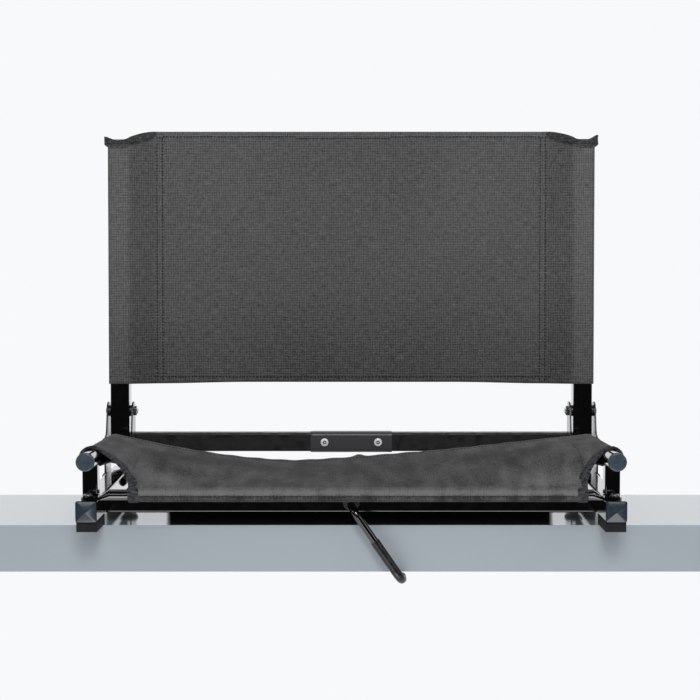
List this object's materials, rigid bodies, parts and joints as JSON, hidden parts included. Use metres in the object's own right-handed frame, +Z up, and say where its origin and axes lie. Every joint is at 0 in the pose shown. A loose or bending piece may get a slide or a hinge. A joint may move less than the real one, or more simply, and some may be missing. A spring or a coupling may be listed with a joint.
{
  "type": "bleacher chair",
  "caption": "Legless stadium seat for a bench: tube frame, sagging charcoal canvas seat, canvas back that folds down, crank hook below that grips the plank.",
  "frame": {"origin": "on the bench top that the rubber feet stand on, midway between the side frames and midway between the front and rear plug faces", "axes": "+X across the chair, to the right as seen from the front; the sitter faces -Y; +Z up, square to the bench top"},
  "size_m": [0.6708, 0.346, 0.5613],
  "materials": {
    "gloss_black_paint": "gloss",
    "plate_black_paint": "satin",
    "clip_black_paint": "satin",
    "blue_grey_plastic": "satin",
    "foot_rubber": "matte",
    "bumper_rubber": "satin",
    "zinc_steel": "satin",
    "bright_screw": "gloss",
    "chrome_nut": "mirror",
    "black_oxide_steel": "satin",
    "black_nylon": "satin",
    "charcoal_canvas": "matte",
    "hook_vinyl": "matte"
  },
  "bodies": {
    "base": {"base_rail_left": "gloss_black_paint", "base_rail_right": "gloss_black_paint", "rail_plugs_front": "blue_grey_plastic", "rail_plugs_rear": "blue_grey_plastic", "foot_front_left": "foot_rubber", "foot_front_right": "foot_rubber", "foot_rear_left": "foot_rubber", "foot_rear_right": "foot_rubber", "foot_screws": "zinc_steel", "front_post_left": "gloss_black_paint", "front_post_right": "gloss_black_paint", "seat_rail_left": "gloss_black_paint", "seat_rail_right": "gloss_black_paint", "seat_rail_caps": "blue_grey_plastic", "front_crossbar": "gloss_black_paint", "sling_bar": "gloss_black_paint", "sling_bar_screws": "bright_screw", "rail_bumpers": "bumper_rubber", "plate_outer_left": "plate_black_paint", "plate_inner_left": "plate_black_paint", "plate_outer_right": "plate_black_paint", "plate_inner_right": "plate_black_paint", "pivot_bolts": "plate_black_paint", "pivot_nuts": "chrome_nut", "pivot_washers": "black_nylon", "bracket_bolts": "black_oxide_steel", "bracket_nuts": "black_oxide_steel", "bracket_washers": "black_nylon", "seat_rail_spacers": "black_nylon", "seat_sling": "charcoal_canvas", "hook_bush_front": "black_nylon", "hook_bush_rear": "black_nylon"},
    "backrest": {"upright_left": "gloss_black_paint", "upright_right": "gloss_black_paint", "upright_plugs_top": "blue_grey_plastic", "upright_plugs_bottom": "blue_grey_plastic", "rear_crossbar_left": "gloss_black_paint", "rear_crossbar_right": "gloss_black_paint", "crossbar_plugs": "blue_grey_plastic", "splice_clip": "clip_black_paint", "splice_screws": "bright_screw", "crossbar_screws": "bright_screw", "rear_nuts": "zinc_steel", "back_sling": "charcoal_canvas"},
    "bench_hook": {"hook_rod": "gloss_black_paint", "hook_sleeve": "hook_vinyl", "hook_washer": "zinc_steel", "hook_nut": "zinc_steel"}
  },
  "joints": [
    {"name": "back_fold", "type": "hinge", "parent": "base", "child": "backrest", "pos_m": [0, 0.145, 0.114], "axis": [1, 0, 0], "range_deg": [0, 90]},
    {"name": "hook_swing", "type": "hinge", "parent": "base", "child": "bench_hook", "pos_m": [0, 0, 0.0247], "axis": [0, -1, 0], "range_deg": [-124, 55]}
  ]
}
